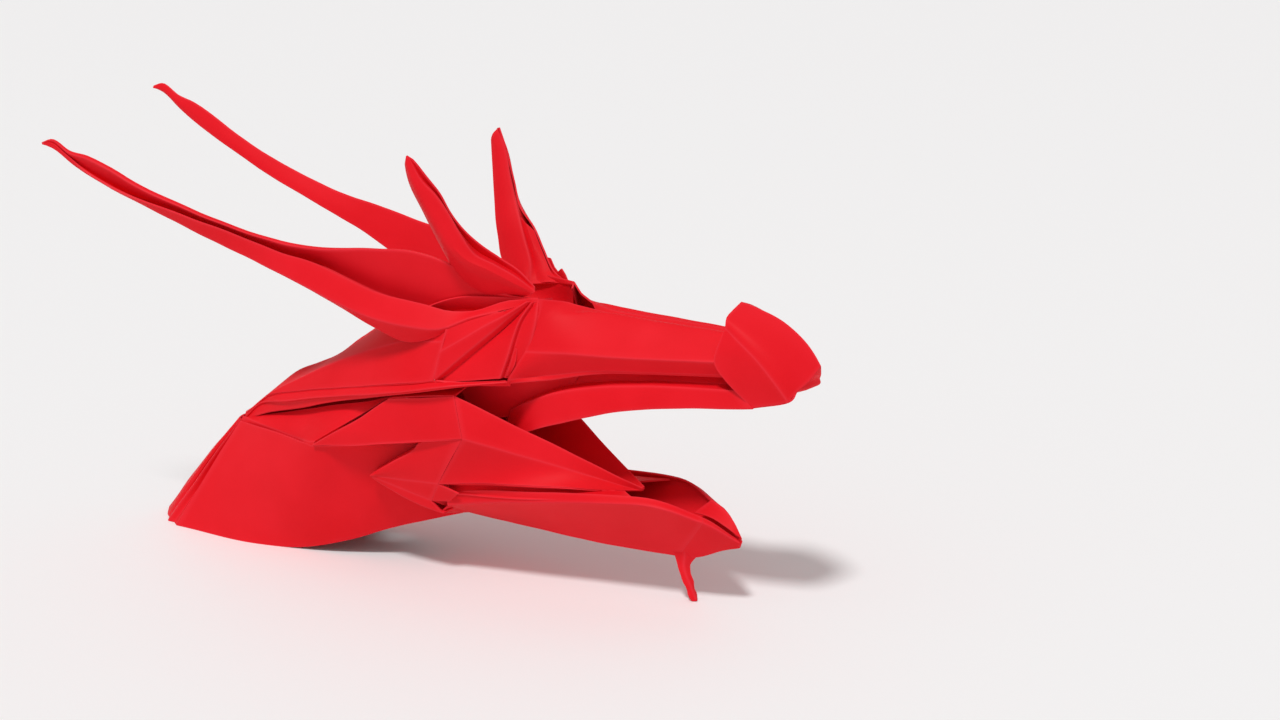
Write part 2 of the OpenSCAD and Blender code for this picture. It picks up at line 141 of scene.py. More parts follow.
def grid(rails, smooth=()):
    """Rows of points over the paper, dense beside each crease, and how much paler each point is painted:
    partly the real whitening of folded paper, partly a painted highlight along the folds.
    """
    rails = np.array(rails, float)
    last = len(rails) - 1
    stops = [i for i in range(last + 1) if i in (0, last) or i not in smooth]
    rows, wear_and_shine, folds = [], [], []
    for lo, hi in zip(stops, stops[1:]):
        part = rails[lo:hi + 1]
        k = hi - lo
        gaps = np.linalg.norm(np.diff(part, axis=0), axis=2)
        n = max(2, int(round(gaps.sum(axis=0).max() / ROW_STEP)))
        step = k / n
        start = [np.minimum(d / np.maximum(gaps[0], 1e-6), cap * step)
                 for d, cap in ((CREASE_NEAR, 0.3), (CREASE_FAR, 0.6))]
        end = [k - np.minimum(d / np.maximum(gaps[-1], 1e-6), cap * step)
               for d, cap in ((CREASE_FAR, 0.6), (CREASE_NEAR, 0.3))]
        flat = np.ones(rails.shape[1])
        places = [0 * flat, *start, *[i * step * flat for i in range(1, n)], *end]
        # How much paler each row is painted, from a fold inward: partly real whitening of the folded paper,
        # partly a painted highlight.
        marks = [1, 0.45, 0.1, *[0] * (n - 1), 0.1, 0.45]
        folds.append(len(rows))
        rows += [across(part, u) for u in places]
        wear_and_shine += marks
    rows.append(rails[last])
    wear_and_shine.append(1)
    rows = np.array(rows)
    soft = rows.copy()
    for i in folds[1:]:
        soft[i] = rows[i] / 2 + (rows[i - 1] + rows[i + 1]) / 4
    return soft, np.array(wear_and_shine, float)


def unit(a):
    return a / np.maximum(np.linalg.norm(a, axis=-1, keepdims=True), 1e-9)


class Paper:
    """Collects sheets of paper that make up one piece."""

    def __init__(self):
        self.points, self.faces, self.wear_and_shine = [], [], []

    def add(self, points, faces, wear_and_shine):
        start = len(self.points)
        self.points += points.tolist()
        self.faces += [[start + i for i in f] for f in faces]
        self.wear_and_shine += wear_and_shine.tolist()

    def sheet(self, rails, smooth=(), thick=PAPER_T, sides=(1, -1)):
        """Paper through a list of rails. smooth names the rails that aren't creases."""
        p, worn_and_shine = grid(rails, smooth)
        n, m = p.shape[:2]
        normal = np.zeros_like(p)
        face = np.cross(p[1:, 1:] - p[:-1, :-1], p[:-1, 1:] - p[1:, :-1])
        face = unit(face)
        for i, j in ((0, 0), (0, 1), (1, 0), (1, 1)):
            normal[i:n - 1 + i, j:m - 1 + j] += face
        step = unit(normal) * thick / 2
        # The edges of each sheet are painted paler as well, partly as real whitening, partly as a painted
        # highlight.
        wear_and_shine = np.repeat(worn_and_shine[:, None], m, axis=1)
        wear_and_shine[:, 0] = np.maximum(wear_and_shine[:, 0], 0.6)
        wear_and_shine[:, -1] = np.maximum(wear_and_shine[:, -1], 0.6)
        both = np.concatenate([(p + step).reshape(-1, 3), (p - step).reshape(-1, 3)])
        at = np.arange(n * m).reshape(n, m)
        low = at + n * m
        quads = []
        for i in range(n - 1):
            for j in range(m - 1):
                a, b, c, d = at[i, j], at[i + 1, j], at[i + 1, j + 1], at[i, j + 1]
                quads.append((a, d, c, b))
                quads.append((a + n * m, b + n * m, c + n * m, d + n * m))
        rim = [(i, 0) for i in range(n)] + [(n - 1, j) for j in range(1, m)]
        rim += [(i, m - 1) for i in range(n - 2, -1, -1)] + [(0, j) for j in range(m - 2, 0, -1)]
        for q, (i, j) in enumerate(rim):
            k, l = rim[(q + 1) % len(rim)]
            quads.append((at[i, j], at[k, l], low[k, l], low[i, j]))
        wear_and_shine_all = np.concatenate([wear_and_shine.ravel(), wear_and_shine.ravel()])
        for side in sides:
            turned = [f[::-1] for f in quads] if side < 0 else quads
            self.add(both * (1, side, 1), turned, wear_and_shine_all)


def crumple(p):
    """Small waves that no folded paper is without, the same for neighbouring sheets."""
    q = Vector(p)
    wave = noise.noise_vector(q / WAVE_LONG) * WAVE_HIGH
    wave += noise.noise_vector(q / WAVE_SHORT + Vector((7, 3, 1))) * WAVE_LOW
    return [p[0] + wave.x, p[1] + wave.y, max(p[2] + wave.z * min(1.0, p[2] / 4), 0.0)]


def make_piece(name, paper):
    """Turns collected sheets into an object of the head."""
    points = [[c * MM for c in crumple(p)] for p in paper.points]
    mesh = bpy.data.meshes.new(name)
    mesh.from_pydata(points, [], paper.faces)
    # The paler paint on folds and sheet edges, kept on the points: partly real whitening, partly a painted
    # highlight.
    worn_and_shine = mesh.attributes.new("crease", "FLOAT", "POINT")
    worn_and_shine.data.foreach_set("value", paper.wear_and_shine)
    shape = bmesh.new()
    shape.from_mesh(mesh)
    bmesh.ops.remove_doubles(shape, verts=shape.verts, dist=2e-6)
    bmesh.ops.dissolve_degenerate(shape, edges=shape.edges, dist=1e-6)
    shape.to_mesh(mesh)
    shape.free()
    mesh.shade_smooth()
    mesh.set_sharp_from_angle(angle=SHARP_ANGLE)
    piece = bpy.data.objects.new(name, mesh)
    bpy.context.scene.collection.objects.link(piece)
    piece.data.materials.append(PAPER)
    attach(piece, "root")
    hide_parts("folded_head")
    return piece


# Corners on the middle plane
THROAT = v(6.4, 0, JAW_LIFT + 2)
FOOT = v(THROAT[0] - NECK_LEN, 0, 0)
NAPE = v(FOOT[0] + 20.2, 0, NAPE_Z)
CREST = v(-14, 0, CREST_Z)
CHIN = v(56.6, 0, JAW_LIFT)
JAW_TIP = v(THROAT[0] + JAW_LEN, 0, JAW_LIFT + 5)
TONGUE = v(14.9 + WING_LEN, 0.4, JAW_LIFT + 12.6)
KNOT = v(26.8, KNOT_W, KNOT_Z)
FOREHEAD = v(KNOT[0], 0, KNOT_Z - SADDLE_DEPTH)
COLLAR = v(KNOT[0] + SNOUT_LEN, 0, KNOT_Z - 3.5)
NOSE_TIP = COLLAR + v(NOSE_LEN, 0, -4.9)

# Corners of each side
BROW = v(2, BROW_W, BROW_Z)
BROW_MID = BROW + v(7.3, -1.2, 1.7)
BROW_FRONT = BROW + v(20.5, -4, 4)
HORN_ROOT = v(10.2, 13, 50.5)
SHOULDER = v(-19.3, SHOULDER_W, NAPE_Z + 0.5)
CHEEK_TOP = v(-4.6, 9.4, 34.4)
MOUTH_TOP = v(12.7, CORNER_W - 1, BROW_Z + 0.5)
MOUTH_LOW = v(14.9, CORNER_W, BROW_Z + 0.5 - WING_H)
JAW_BACK = v(8.8, JAW_W + 1, JAW_LIFT + 7)
RIM_FRONT = v(48.6, 0.8 * JAW_W, JAW_LIFT + JAW_H - 0.4)
POCKET_TIP = SHOULDER + v(11.1, -1.5, -4.6)
POCKET_HEART = v(7.9, 12.7, JAW_LIFT + 11.5)
EAR_TIP = KNOT + v(-EAR_LEAN, EAR_SPLAY - KNOT_W, EAR_H)


def neck(paper):
    """The two flaps that stand on the table, and the rounded edge down the back."""
    n = 36
    top = curve([NAPE + v(1.6, 3, -0.2), mix(NAPE, SHOULDER, 0.5) + v(0, 1.8, 0.2), SHOULDER + v(0, -0.3, 0),
                 SHOULDER + v(10, -2.4, 2.2), SHOULDER + v(20, -3.2, 3.4), SHOULDER + v(29, -3, 4)], n)
    low = curve([FOOT + v(8.8, NECK_W - 1.9, 0), FOOT + v(19, NECK_W - 0.8, 0), FOOT + v(28.4, NECK_W, 0),
                 FOOT + v(39.5, NECK_W - 1.3, 0.4), FOOT + v(50.5, NECK_W - 3, 3.2),
                 FOOT + v(60.7, NECK_W - 5.5, 6.8), THROAT], n)
    low[:, 2] = np.maximum(low[:, 2], 0)
    paper.sheet([top, blend(top, low, 0.33, (0, 0.3, 0)), blend(top, low, 0.67, (0, 0.3, 0)), low],
                smooth=(1, 2))
    n = 24
    paper.sheet([bow(NAPE, FOOT + v(0.2, 0, 0.2), (0, 0, 0.4), n),
                 bow(NAPE + v(0.2, 1.5, -0.1), FOOT + v(2.6, 3.6, 0.1), (0, 0.6, 0), n),
                 bow(NAPE + v(0.8, 1.6, -0.3), FOOT + v(4.2, 5, 0.1), (0, -0.5, 0), n),
                 bow(NAPE + v(1, 2.4, -0.3), FOOT + v(5.4, 7, 0), (0, 0.2, 0), n),
                 bow(NAPE + v(1.4, 2, -0.6), FOOT + v(7.2, 7.2, 0), (0, -0.7, 0), n),
                 bow(NAPE + v(1.8, 3, -0.5), FOOT + v(8.8, NECK_W - 1.9, 0), (0, 0, 0), n)], smooth=(1,))


def roof_bottom(n):
    """Edge of the roof of the neck over the hem, from the nape to the outer end of the cheek."""
    return curve([NAPE + v(1.8, 1.6, 0.8), NAPE + v(6.2, 2, 4.2), NAPE + v(9.4, 3.3, 6.3),
                  NAPE + v(18.8, 6, 9.1),
                  BROW + v(-15.8, -5.7, -2.2), BROW + v(-2.7, -1.5, 1.1), BROW + v(6.6, -1, 3.2)], n)


def roof(paper):
    """The roof of the neck, from the ridge down to the hem of the brow."""
    n = 48
    ridge = curve([NAPE + v(0.8, 0, 0.8), NAPE + v(5.8, 0, 4.2), NAPE + v(13.4, 0, 10.6),
                   NAPE + v(19.2, 0, 13.2),
                   CREST + v(-7.6, 0, -5.1), CREST + v(-1.8, 0, -0.8), CREST + v(7, 4.5, 4.6),
                   CREST + v(15, 9, 6.6), HORN_ROOT + v(0.4, -0.4, 1.1)], n)
    soft = curve([NAPE + v(1.4, 1, 0.8), NAPE + v(8, 2.6, 5.6), NAPE + v(16.8, 5, 10.6),
                  CREST + v(-3, 8, -4.2),
                  CREST + v(12.9, 11.2, 2.2), HORN_ROOT + v(0.3, 1, -2.2)], n)
    paper.sheet([ridge, soft, roof_bottom(n)])


def brow_hem(paper):
    """The two turned edges along the brow, with the recess behind them."""
    n = 60
    top = curve([*roof_bottom(6), BROW + v(9.4, -1.3, 3.3), BROW + v(13, -2, 3.4), BROW_FRONT], n)
    first = curve([NAPE + v(1.9, 1.7, 0.4), NAPE + v(6.2, 2.2, 3.9), NAPE + v(14.4, 5.6, 6.2),
                   NAPE + v(22.2, 8.2, 8.5), BROW + v(-15.4, -4.6, -2.1 - HEM_H),
                   BROW + v(-4.1, -0.9, 0.6 - HEM_H),
                   BROW + v(8.2, 0, 3.8 - HEM_H), BROW + v(13.2, -1.3, 4.5 - HEM_H),
                   BROW_FRONT + v(0.3, 0.2, -0.1)], n)
    second = curve([NAPE + v(1.8, 1.6, -0.2), NAPE + v(9.4, 3.6, 2.8), NAPE + v(18.9, 6.6, 5.7),
                    BROW + v(-20.3, -6.6, -5.9), BROW + v(-11.2, -3.8, -3.3), BROW + v(-3.5, -1.3, -1.2),
                    BROW + v(7.8, -0.6, 1.8), BROW + v(12.6, -2.2, 2.6), BROW_FRONT + v(-0.2, -0.6, -0.4)], n)
    deep = np.minimum(RECESS_DEPTH, second[:, 1:2] * 0.6) * v(0, -1, 0)
    paper.sheet([top, blend(top, first, 0.12, (0, -0.35, -0.1)), first,
                 blend(first, second, 0.15, (0, -0.45, 0)),
                 second, second + deep + v(0, 0, 0.5)])


def cheek_fan(paper):
    """The pleats that spread from the knot to the brow."""
    n = 26
    strip = curve([HORN_ROOT + v(0.6, 0.2, 0.8), v(16.6, 11, 53.3), v(22, 9.3, 54.8),
                   KNOT + v(-2, 0.7, -0.8)], n)
    groove = curve([BROW + v(6.9, -0.9, 3.5), v(12.9, 13.8, 44.8), v(19.2, 11.2, 50.6), v(22.2, 9.8, 53.7),
                    KNOT + v(-1.4, 0.9, -0.4)], n)
    outer = curve([HORN_ROOT + v(0.7, 0.4, 0.6), HORN_ROOT + v(0.2, 1.5, -2.6), BROW + v(7.2, -0.9, 5.2),
                   BROW + v(6.6, -0.9, 3.2)], 12)
    k = np.linspace(0, 1, n + 1)[:, None]
    paper.sheet([strip, blend(strip, groove, 0.5, (0, 0.5, 0.2)), groove,
                 groove + v(0.75, -1.9, -0.75) * np.sin(np.pi * (0.12 + 0.8 * k))])
    paper.sheet([outer, np.repeat([strip[0]], 13, axis=0)])
    left = curve([BROW + v(6.8, -1.8, 2.7), v(13.4, 12.4, 44.1), v(19.9, 9.9, 49.8), v(23, 8.7, 53),
                  KNOT + v(-1.2, 0.6, -0.8)], n)
    right = curve([BROW_FRONT + v(-1, 0.4, 0.5), v(22.6, 11.6, 46), v(23.4, 10.7, 49.8), v(24.3, 9.6, 53.3),
                   KNOT + v(-1, 1, -0.6)], n)
    low = bow(BROW + v(7, -1, 2.8), BROW_FRONT + v(0.5, 0.1, 0), (0, 0.3, 0), n)
    paper.sheet([left, blend(left, right, 0.5), right, right + v(0.3, -1.2, 0.1)], smooth=(1,))
    paper.sheet([np.repeat([left[0]], n + 1, axis=0), low, low + v(0, -1.4, -1) * k])
    edge = curve([BROW_FRONT + v(0.6, -1.2, 0.3), v(25.4, 9.5, 46.4), v(26.4, 9.2, 49.4), v(27, 8.6, 53),
                  KNOT], n)
    paper.sheet([right + v(0.3, -1.1, 0), edge, edge + v(1.2, -3, -0.4)])
    paper.sheet([curve([v(22.4, 11.5, 42.6), v(23, 11, 45), v(23.6, 10.3, 47.9)], 8),
                 curve([v(22.8, 10.9, 42.8), v(23.9, 10.6, 45), v(23.9, 10, 47.7)], 8)])


def cheek_panels(paper):
    """The panels between the brow and the neck."""
    n = 20
    low = curve([NAPE + v(1.7, 2.9, -0.2), NAPE + v(17.2, 8.4, -0.9), SHOULDER + v(-3.8, -1.2, -0.8),
                 SHOULDER + v(-1.4, -0.4, -0.3)], n)
    paper.sheet([low + v(0.6, -1.2, -0.8), low, low + v(0.4, -0.1, 0.9),
                 curve([NAPE + v(1.8, 1.6, 0), NAPE + v(15.4, 4, 3.8), NAPE + v(26.1, 7, 7),
                        NAPE + v(35.2, 9, 9.5),
                        CHEEK_TOP], n)])
    left = curve([SHOULDER + v(-1, 0.3, 0.1), SHOULDER + v(4.4, 0.7, 3.4), SHOULDER + v(9.6, 0.7, 6.6),
                  BROW + v(-4.1, -2.2, -2.3)], n)
    right = bow(MOUTH_LOW, MOUTH_TOP, (0, 0, 0), n)
    paper.sheet([left + v(0.5, -2.2, 0.6), left, blend(left, right, 0.33, (0, 0.2, 0)),
                 blend(left, right, 0.67, (0, 0.2, 0)), right], smooth=(2, 3))
    paper.sheet([bow(left[0], MOUTH_LOW, (0, 0.4, 0), n),
                 bow(SHOULDER + v(2.3, -2.2, 0.1), MOUTH_LOW + v(-2, -5, -2.2), (0, 0, 0), n)])
    paper.sheet([bow(left[-1], MOUTH_TOP, (0, 0, 0.2), n),
                 bow(left[-1] + v(0.5, -4.4, 1), MOUTH_TOP + v(0, -4.6, 0.6), (0, 0, 0.2), n)])


def pocket(paper):
    """The small pocket that shows below the cheek, and the folds from it to the back of the jaw."""
    n = 16
    chin_fold = JAW_BACK + v(-3.4, 0.4, 0.6)
    top = curve([POCKET_TIP, POCKET_TIP + v(5.4, 1.1, 3.4), POCKET_HEART + v(-5.2, 0.6, 5.9),
                 POCKET_HEART + v(-2.7, 1, 8.1), MOUTH_LOW + v(-0.2, -0.2, -0.3)], n)
    middle = bow(POCKET_TIP, POCKET_HEART, (0, 0, 0), n)
    hem = bow(POCKET_TIP, chin_fold, (0, 0.1, -0.1), n)
    paper.sheet([top + v(0.4, -1.6, 0.7), top, blend(top, middle, 0.5, (0, 0.2, 0)), middle, hem],
                smooth=(2,))
    low = bow(POCKET_TIP + v(0.4, -0.2, -0.6), JAW_BACK + v(-1, 0, -1.8), (0, 0.1, -0.7), n)
    paper.sheet([hem, low, low + v(0.6, -2.4, 0.2)])
    paper.sheet([bow(JAW_BACK + v(0.6, -0.2, 0.3), THROAT + v(0.8, 0.4, 0.2), (0, 0, 0), 10),
                 bow(JAW_BACK + v(-1.6, -0.5, -1.6), THROAT + v(-4, 2.4, -0.2), (0, 0.3, 0), 10)])
    paper.sheet([bow(POCKET_HEART, POCKET_HEART + v(4, -0.7, -1.6), (0, 0, 0), 8),
                 bow(chin_fold, JAW_BACK + v(0.6, 0.2, 0.9), (0, 0, 0), 8)])


def mouth_wings(paper):
    """The wings at the corners of the mouth, which meet in the tongue, and the slot below them."""
    n = 28
    valley = v(12, 0, JAW_LIFT + 13.5)
    low = curve([POCKET_HEART, POCKET_HEART + v(8.7, -0.6, 1), POCKET_HEART + v(24.4, -3.4, 1.8),
                 TONGUE + v(-4.4, 3.8, 0)], n)
    rim = curve([JAW_BACK + v(1, 0.4, 2.4), v(20.4, JAW_W + 0.6, JAW_LIFT + JAW_H - 2.7),
                 v(32.4, JAW_W - 0.6, JAW_LIFT + JAW_H - 1.5), RIM_FRONT + v(-1.6, -1, 0.4)], n)
    paper.sheet([bow(valley, TONGUE + v(0, -0.4, -0.6), (0, 0, -1), n), bow(MOUTH_TOP, TONGUE, (0, 0, 0), n),
                 bow(MOUTH_LOW, TONGUE + v(0, 0, -0.5), (0, 0, 0), n), low])
    paper.sheet([low, blend(low, rim, 0.35, (0, -2, 0)), rim])


def lining(paper):
    """The dark wall behind the corner of the mouth."""
    n = 16
    paper.sheet([bow(BROW_MID + v(0, -7.5, 0.4), v(34, 3.4, 43), (0, 0, 0), n),
                 bow(v(12, 6, 31), v(29, 3, 34.5), (0, -1, 0), n)])


def snout(paper):
    """The snout with its pleats along each side and the turned flap below them."""
    n = 44
    d = PLEAT_DEPTH
    front = COLLAR + v(1, 0, 0)
    k = np.linspace(0, 1, n + 1)
    top_w = np.interp(k, [0, 0.1, 0.2, 0.35], [KNOT_W, 0.4 * KNOT_W + 0.4, SNOUT_TOP_W + 0.5, SNOUT_TOP_W])
    top_drop = np.interp(k, [0, 0.1, 0.2, 0.35, 1], [0, 1, 2.1, 2.9, 3.7])
    edge = np.stack([KNOT[0] + SNOUT_LEN * k, top_w, KNOT_Z - top_drop], axis=1)
    step_top = curve([BROW_FRONT + v(0.3, -0.4, 0.2), v(27.3, 9.6 - 0.7 * d, 42.4),
                      v(38.3, 8.8 - 0.8 * d, 44.3),
                      v(48.1, 8.2 - 0.8 * d, 45.2), front + v(1, SNOUT_W - 0.7 * d, 6.1 - SNOUT_H)], n)
    step_low = curve([BROW_FRONT + v(0, -0.6, -0.5), v(29, 9.2 - 0.6 * d, 41.8), v(38.6, 8.8 - 0.8 * d, 43.8),
                      v(48.4, 8.3 - 0.85 * d, 44.9), front + v(2.2, SNOUT_W - 0.75 * d, 5.8 - SNOUT_H)], n)
    flap_top = curve([v(19.4, 4.6, 33.8), v(24, 6, 36.4), v(29.7, 6.4, 38.9), v(37.5, 6.4, 40.9),
                      v(49.8, 6.4, 42.7),
                      front + v(3.6, SNOUT_W - 0.6, 3.7 - SNOUT_H)], n)
    inward = v(0, d, 0) * (1 - k[:, None])**2
    paper.sheet([curve([v(36, 0, KNOT_Z - 4), v(43, 0, KNOT_Z - 3.6), front + v(-10, 0, -0.3),
                        front + v(0, 0, -0.6)], n - 8), edge[8:]])
    paper.sheet([
        edge,
        curve([KNOT + v(0.4, 1, -3), v(31, 6, KNOT_Z - 3.2), v(36.4, 3.9, KNOT_Z - 2.8),
               v(45.9, 3.3, KNOT_Z - 3.3),
               front + v(0, 2.4, -0.5)], n),
        curve([v(25.4, 9.6, 47.2), v(32.5, 9.1, 47.6), v(42.3, 8.7, 47.9), v(52.6, 8, 48.6),
               front + v(0, SNOUT_W + 0.2, 8.8 - SNOUT_H)], n),
        step_top, step_low, blend(step_low, flap_top, 0.15, (0, -1.2 * d, 0.4)) - inward,
        blend(step_low, flap_top, 0.85, (0, -0.9 * d, 0)) - inward, flap_top,
        curve([v(17.6, 4.6, 26.8), v(20.6, 6, 28.4), v(24.8, 6.8, 31.1), v(35.9, 7.8, 35.2),
               v(44.5, 7.8, 37.7),
               v(55.2, 7.4, 39.4), front + v(6.8, SNOUT_W - 0.2, 0.9 - SNOUT_H)], n),
        curve([v(24, 5, 32.4), v(32, 6, 36.6), v(43, 6, 39.8), front + v(7.4, SNOUT_W - 2, 2.7 - SNOUT_H)],
              n),
        curve([v(27, 0, 37), v(34, 0, 39.5), v(43, 0, 41.4), front + v(8, 0, 3.4 - SNOUT_H)], n)],
        smooth=(1,))


def nose(paper):
    """The collar and hood of the nose."""
    n = 28
    w = SNOUT_W
    corner = COLLAR + v(2.1, w - 0.8, 1.8)
    low = COLLAR + v(COLLAR_LEN + 8.5, w - 0.6, -10.2)
    back = curve([corner, COLLAR + v(0.6, w + 0.2, -2.1), COLLAR + v(0.4, w + 0.4, -4.6),
                  COLLAR + v(2.6, w + 0.4, -7.4), COLLAR + v(COLLAR_LEN + 1.6, w - 0.5, -12)], n)
    crease = bow(corner, low, (0.9, 1.2, 0.7), n)
    shoulder = bow(COLLAR + v(1.8, w - 2.6, HOOD_RISE - 1.4), NOSE_TIP + v(-1.2, 2.6, -2.1),
                   (0.8, 1.4, 0.9), n)
    side = blend(crease, shoulder, 0.5, (0, 0.5, 0.3))
    ridge = bow(COLLAR + v(2.2, 0, HOOD_RISE), NOSE_TIP, (1.7, 0, 1.4), n)
    paper.sheet([back, crease, side, shoulder, ridge], smooth=(2, 3))
    paper.sheet([bow(COLLAR + v(-0.4, 0, 0.2), COLLAR + v(2, 0, 1.6), (0, 0, 0), 8),
                 bow(back[5] + v(0.4, -0.6, 0), corner, (0, 0, 0), 8)])
    paper.sheet([curve([NOSE_TIP, NOSE_TIP + v(-3.6, 0, -2.2), NOSE_TIP + v(-5.4, 0, -4),
                        NOSE_TIP + v(-6, 0, -5.2), COLLAR + v(COLLAR_LEN + 1.8, 0, -11.6)], n),
                 curve([NOSE_TIP, NOSE_TIP + v(-3.2, 1.8, -2.5), NOSE_TIP + v(-4.6, 2.6, -4),
                        NOSE_TIP + v(-4.6, 3.4, -5.6), COLLAR + v(COLLAR_LEN + 4, w - 3, -11.6)], n),
                 curve([NOSE_TIP, shoulder[-1], side[-1], low, back[-1]], n)], smooth=(1,))


def jaw(paper):
    """The lower jaw, a keeled trough with a folded rim."""
    n = 32
    d = JAW_H
    front = mix(RIM_FRONT, JAW_TIP, 0.5)
    hem = curve([RIM_FRONT, front + v(2.8, 0.6, 0.7), JAW_TIP + v(0, 0.5, 0)], 2 * n)
    inner = curve([RIM_FRONT + v(0, -1, 0.6), front + v(2.2, -0.5, 1.2), JAW_TIP + v(-1, 0.3, 0.7)], 2 * n)
    bend = CHIN + v(-4, 0, 0.1)
    paper.sheet([bow(THROAT, bend, (0, 0, -0.3), n),
                 curve([JAW_BACK, v(24.1, JAW_W, JAW_LIFT + d - 3), RIM_FRONT, hem[n]], n),
                 curve([JAW_BACK + v(-0.4, 0, 2.6), v(23, JAW_W + 0.2, JAW_LIFT + d - 1),
                        RIM_FRONT + v(-0.4, -1.2, 1), inner[n]], n)])
    paper.sheet([curve([bend, CHIN + v(0, 0, 0.6), CHIN + v(4.8, 0, 2.7), JAW_TIP + v(-0.2, 0, -1.1)], n),
                 hem[n:], inner[n:]])


def jaw_crimp(paper):
    """The raised fold over the tip of the jaw, on the left side."""
    n = 12
    paper.sheet([curve([JAW_TIP + v(-10.4, 2, 3.4), JAW_TIP + v(-6.3, 1, 3.3), JAW_TIP + v(-2.9, 0.2, 2.3),
                        JAW_TIP + v(-0.9, 0, 1.2)], n),
                 curve([JAW_TIP + v(-7.6, 3.4, 5.9), JAW_TIP + v(-5, 2.7, 5), JAW_TIP + v(-2.1, 1.4, 3.2),
                        JAW_TIP + v(0, 0.3, 0.6)], n),
                 curve([JAW_TIP + v(-8, 3.6, 4), JAW_TIP + v(-5, 2.9, 3), JAW_TIP + v(-2.4, 1.5, 1.4),
                        JAW_TIP + v(-0.3, 0.3, -0.2)], n)], sides=(1,))


def beard(paper):
    """The thin twisted point that stands on the table."""
    line = curve([CHIN + v(-2.4, 0, 2.4), CHIN + v(-2.5, 0, 0.6), CHIN + v(-2.8, 0, -1.4),
                  CHIN + v(-2.4, 0, -3.4),
                  CHIN + v(-1.7, 0, -5.2), CHIN + v(-1.2, 0, -6.6), v(CHIN[0] - 0.6, 0, 0.1)], 24)
    k = np.linspace(0, 1, 25)
    half = BEARD_D * np.interp(k, [0, 0.12, 0.22, 0.32, 0.5, 0.62, 0.72, 0.8, 0.86, 0.93, 1],
                               [2.1, 1.7, 1.15, 0.75, 0.56, 0.62, 0.44, 0.4, 0.52, 0.5, 0.3])
    turn = k * 1.2
    out = np.stack([np.cos(turn) * half, np.sin(turn) * half, 0 * k], axis=1)
    fold = np.stack([np.sin(turn) * 0.55, -np.cos(turn) * 0.55, 0 * k], axis=1)
    paper.sheet([line - out, line + fold, line + out], sides=(1,), thick=0.5)
    paper.sheet([line - out * 0.8, line - fold, line + out * 0.9], sides=(1,), thick=0.5)


def horn_axis(k, length, rise):
    """Middle line of a horn at the shares k of the way from the knot back to its tip."""
    k = k[:, None]
    return KNOT + np.concatenate([-length * k, (HORN_SPLAY - KNOT_W) * k,
                                  rise * k - 4 * HORN_SAG * k * (1 - k)],
                                 axis=1)


HORN_SHARES = np.concatenate([np.linspace(0, 0.9, 55), np.linspace(0.9, 1, 16)[1:]])
KEEL_UP = [[0, -0.02], [0.1, -0.24], [0.16, -0.46], [0.25, -0.65], [0.3, -0.56], [0.4, -0.36], [0.48, -0.24],
           [0.55, -0.17], [0.75, -0.1], [0.93, -0.02], [0.978, 0.03], [1, 0]]


def horn_rail(length, rise, out, up):
    """Rail of a horn: distances outward and upward from its middle line, in shares of its height."""
    k = HORN_SHARES
    steps = np.stack([0 * k, smooth_table(k, out), smooth_table(k, up)], axis=1)
    return horn_axis(k, length, rise) + steps * HORN_H


def right_horn(paper):
    """The right horn, a trough that narrows from the knot to a crimped tip."""
    s = RIGHT_HORN_WALL / HORN_H
    deep = [[0, 0], [0.04, 0.3], [0.12, 0.9], [0.2, 1], [0.4, 1], [0.55, 0.9], [0.8, 0.8], [0.9, 0.5], [1, 0]]
    wall_out = [[0, 0], [0.12, 0.13], [0.21, 0.22], [0.42, 0.16], [0.72, 0.1], [0.83, 0.06], [1, 0]]
    wall_up = [[0, 0], [0.05, -0.03], [0.12, -0.2], [0.16, -0.21], [0.2, -0.16], [0.29, -0.12], [0.37, -0.03],
               [0.42, 0.04], [0.48, 0.05], [0.6, 0.07], [0.72, 0.03], [0.83, -0.03], [0.91, 0], [0.95, 0.06],
               [0.978, 0.09], [1, 0.01]]
    lip_out = [[0, 0], [0.1, 0], [0.2, 0.07], [0.38, 0.03], [1, 0]]
    lip_up = [[0, 0], [0.06, 0.02], [0.11, 0.02 + 0.3 * s], [0.16, 0.8 * s], [0.23, 0.02 + s],
              [0.32, 0.18 + 0.4 * s], [0.38, 0.17 + 0.2 * s], [0.45, 0.17], [0.53, 0.13], [0.7, 0.12],
              [0.8, 0.14],
              [0.85, 0.18], [0.9, 0.18], [0.94, 0.12], [0.978, 0.13], [1, 0.01]]
    fold_out = [[0, 0], [0.05, 0.1], [0.12, 0.23], [0.16, 0.3], [0.25, 0.36], [0.38, 0.29], [0.53, 0.14],
                [0.66, 0.07], [1, 0]]
    fold_up = [[0, -0.03], [0.05, -0.13], [0.12, -0.27], [0.155, -0.38], [0.22, -0.41], [0.29, -0.4],
               [0.37, -0.33], [0.45, -0.23], [0.53, -0.17], [0.66, -0.12], [0.8, -0.07], [0.93, -0.01],
               [0.978, 0.05], [1, 0]]
    keel_out = [[0, 0], [0.1, 0.18], [0.16, 0.24], [0.25, 0.2], [0.33, 0.2], [0.45, 0.14], [0.53, 0.08],
                [1, 0]]
    lip_drop = [[0, 0], [0.3, 0], [0.42, 0.01], [0.6, 0.01], [0.8, 0.02], [0.93, 0.02], [1, 0]]
    size = RIGHT_HORN_LEN, RIGHT_HORN_RISE
    k = HORN_SHARES
    wall = horn_rail(*size, wall_out, wall_up)
    lip = horn_rail(*size, lip_out, lip_up)
    trough = wall - v(0, 1, 0.4) * smooth_table(k, deep)[:, None] * RIGHT_HORN_GROOVE
    hang = [[0, 0], [0.2, 0.02], [0.3, 0.03], [0.42, 0.05], [0.6, 0.05], [0.8, 0.04], [0.93, 0.03], [1, 0]]
    hung = smooth_table(k, hang)[:, None]
    dropped = smooth_table(k, lip_drop)[:, None]
    ledge = lip + HORN_H * (v(0, 1, 0) * hung - v(0, 0, 1) * dropped)
    paper.sheet([lip, ledge, trough, horn_rail(*size, keel_out, KEEL_UP),
                 horn_rail(*size, fold_out, fold_up), wall],
                sides=(-1,))


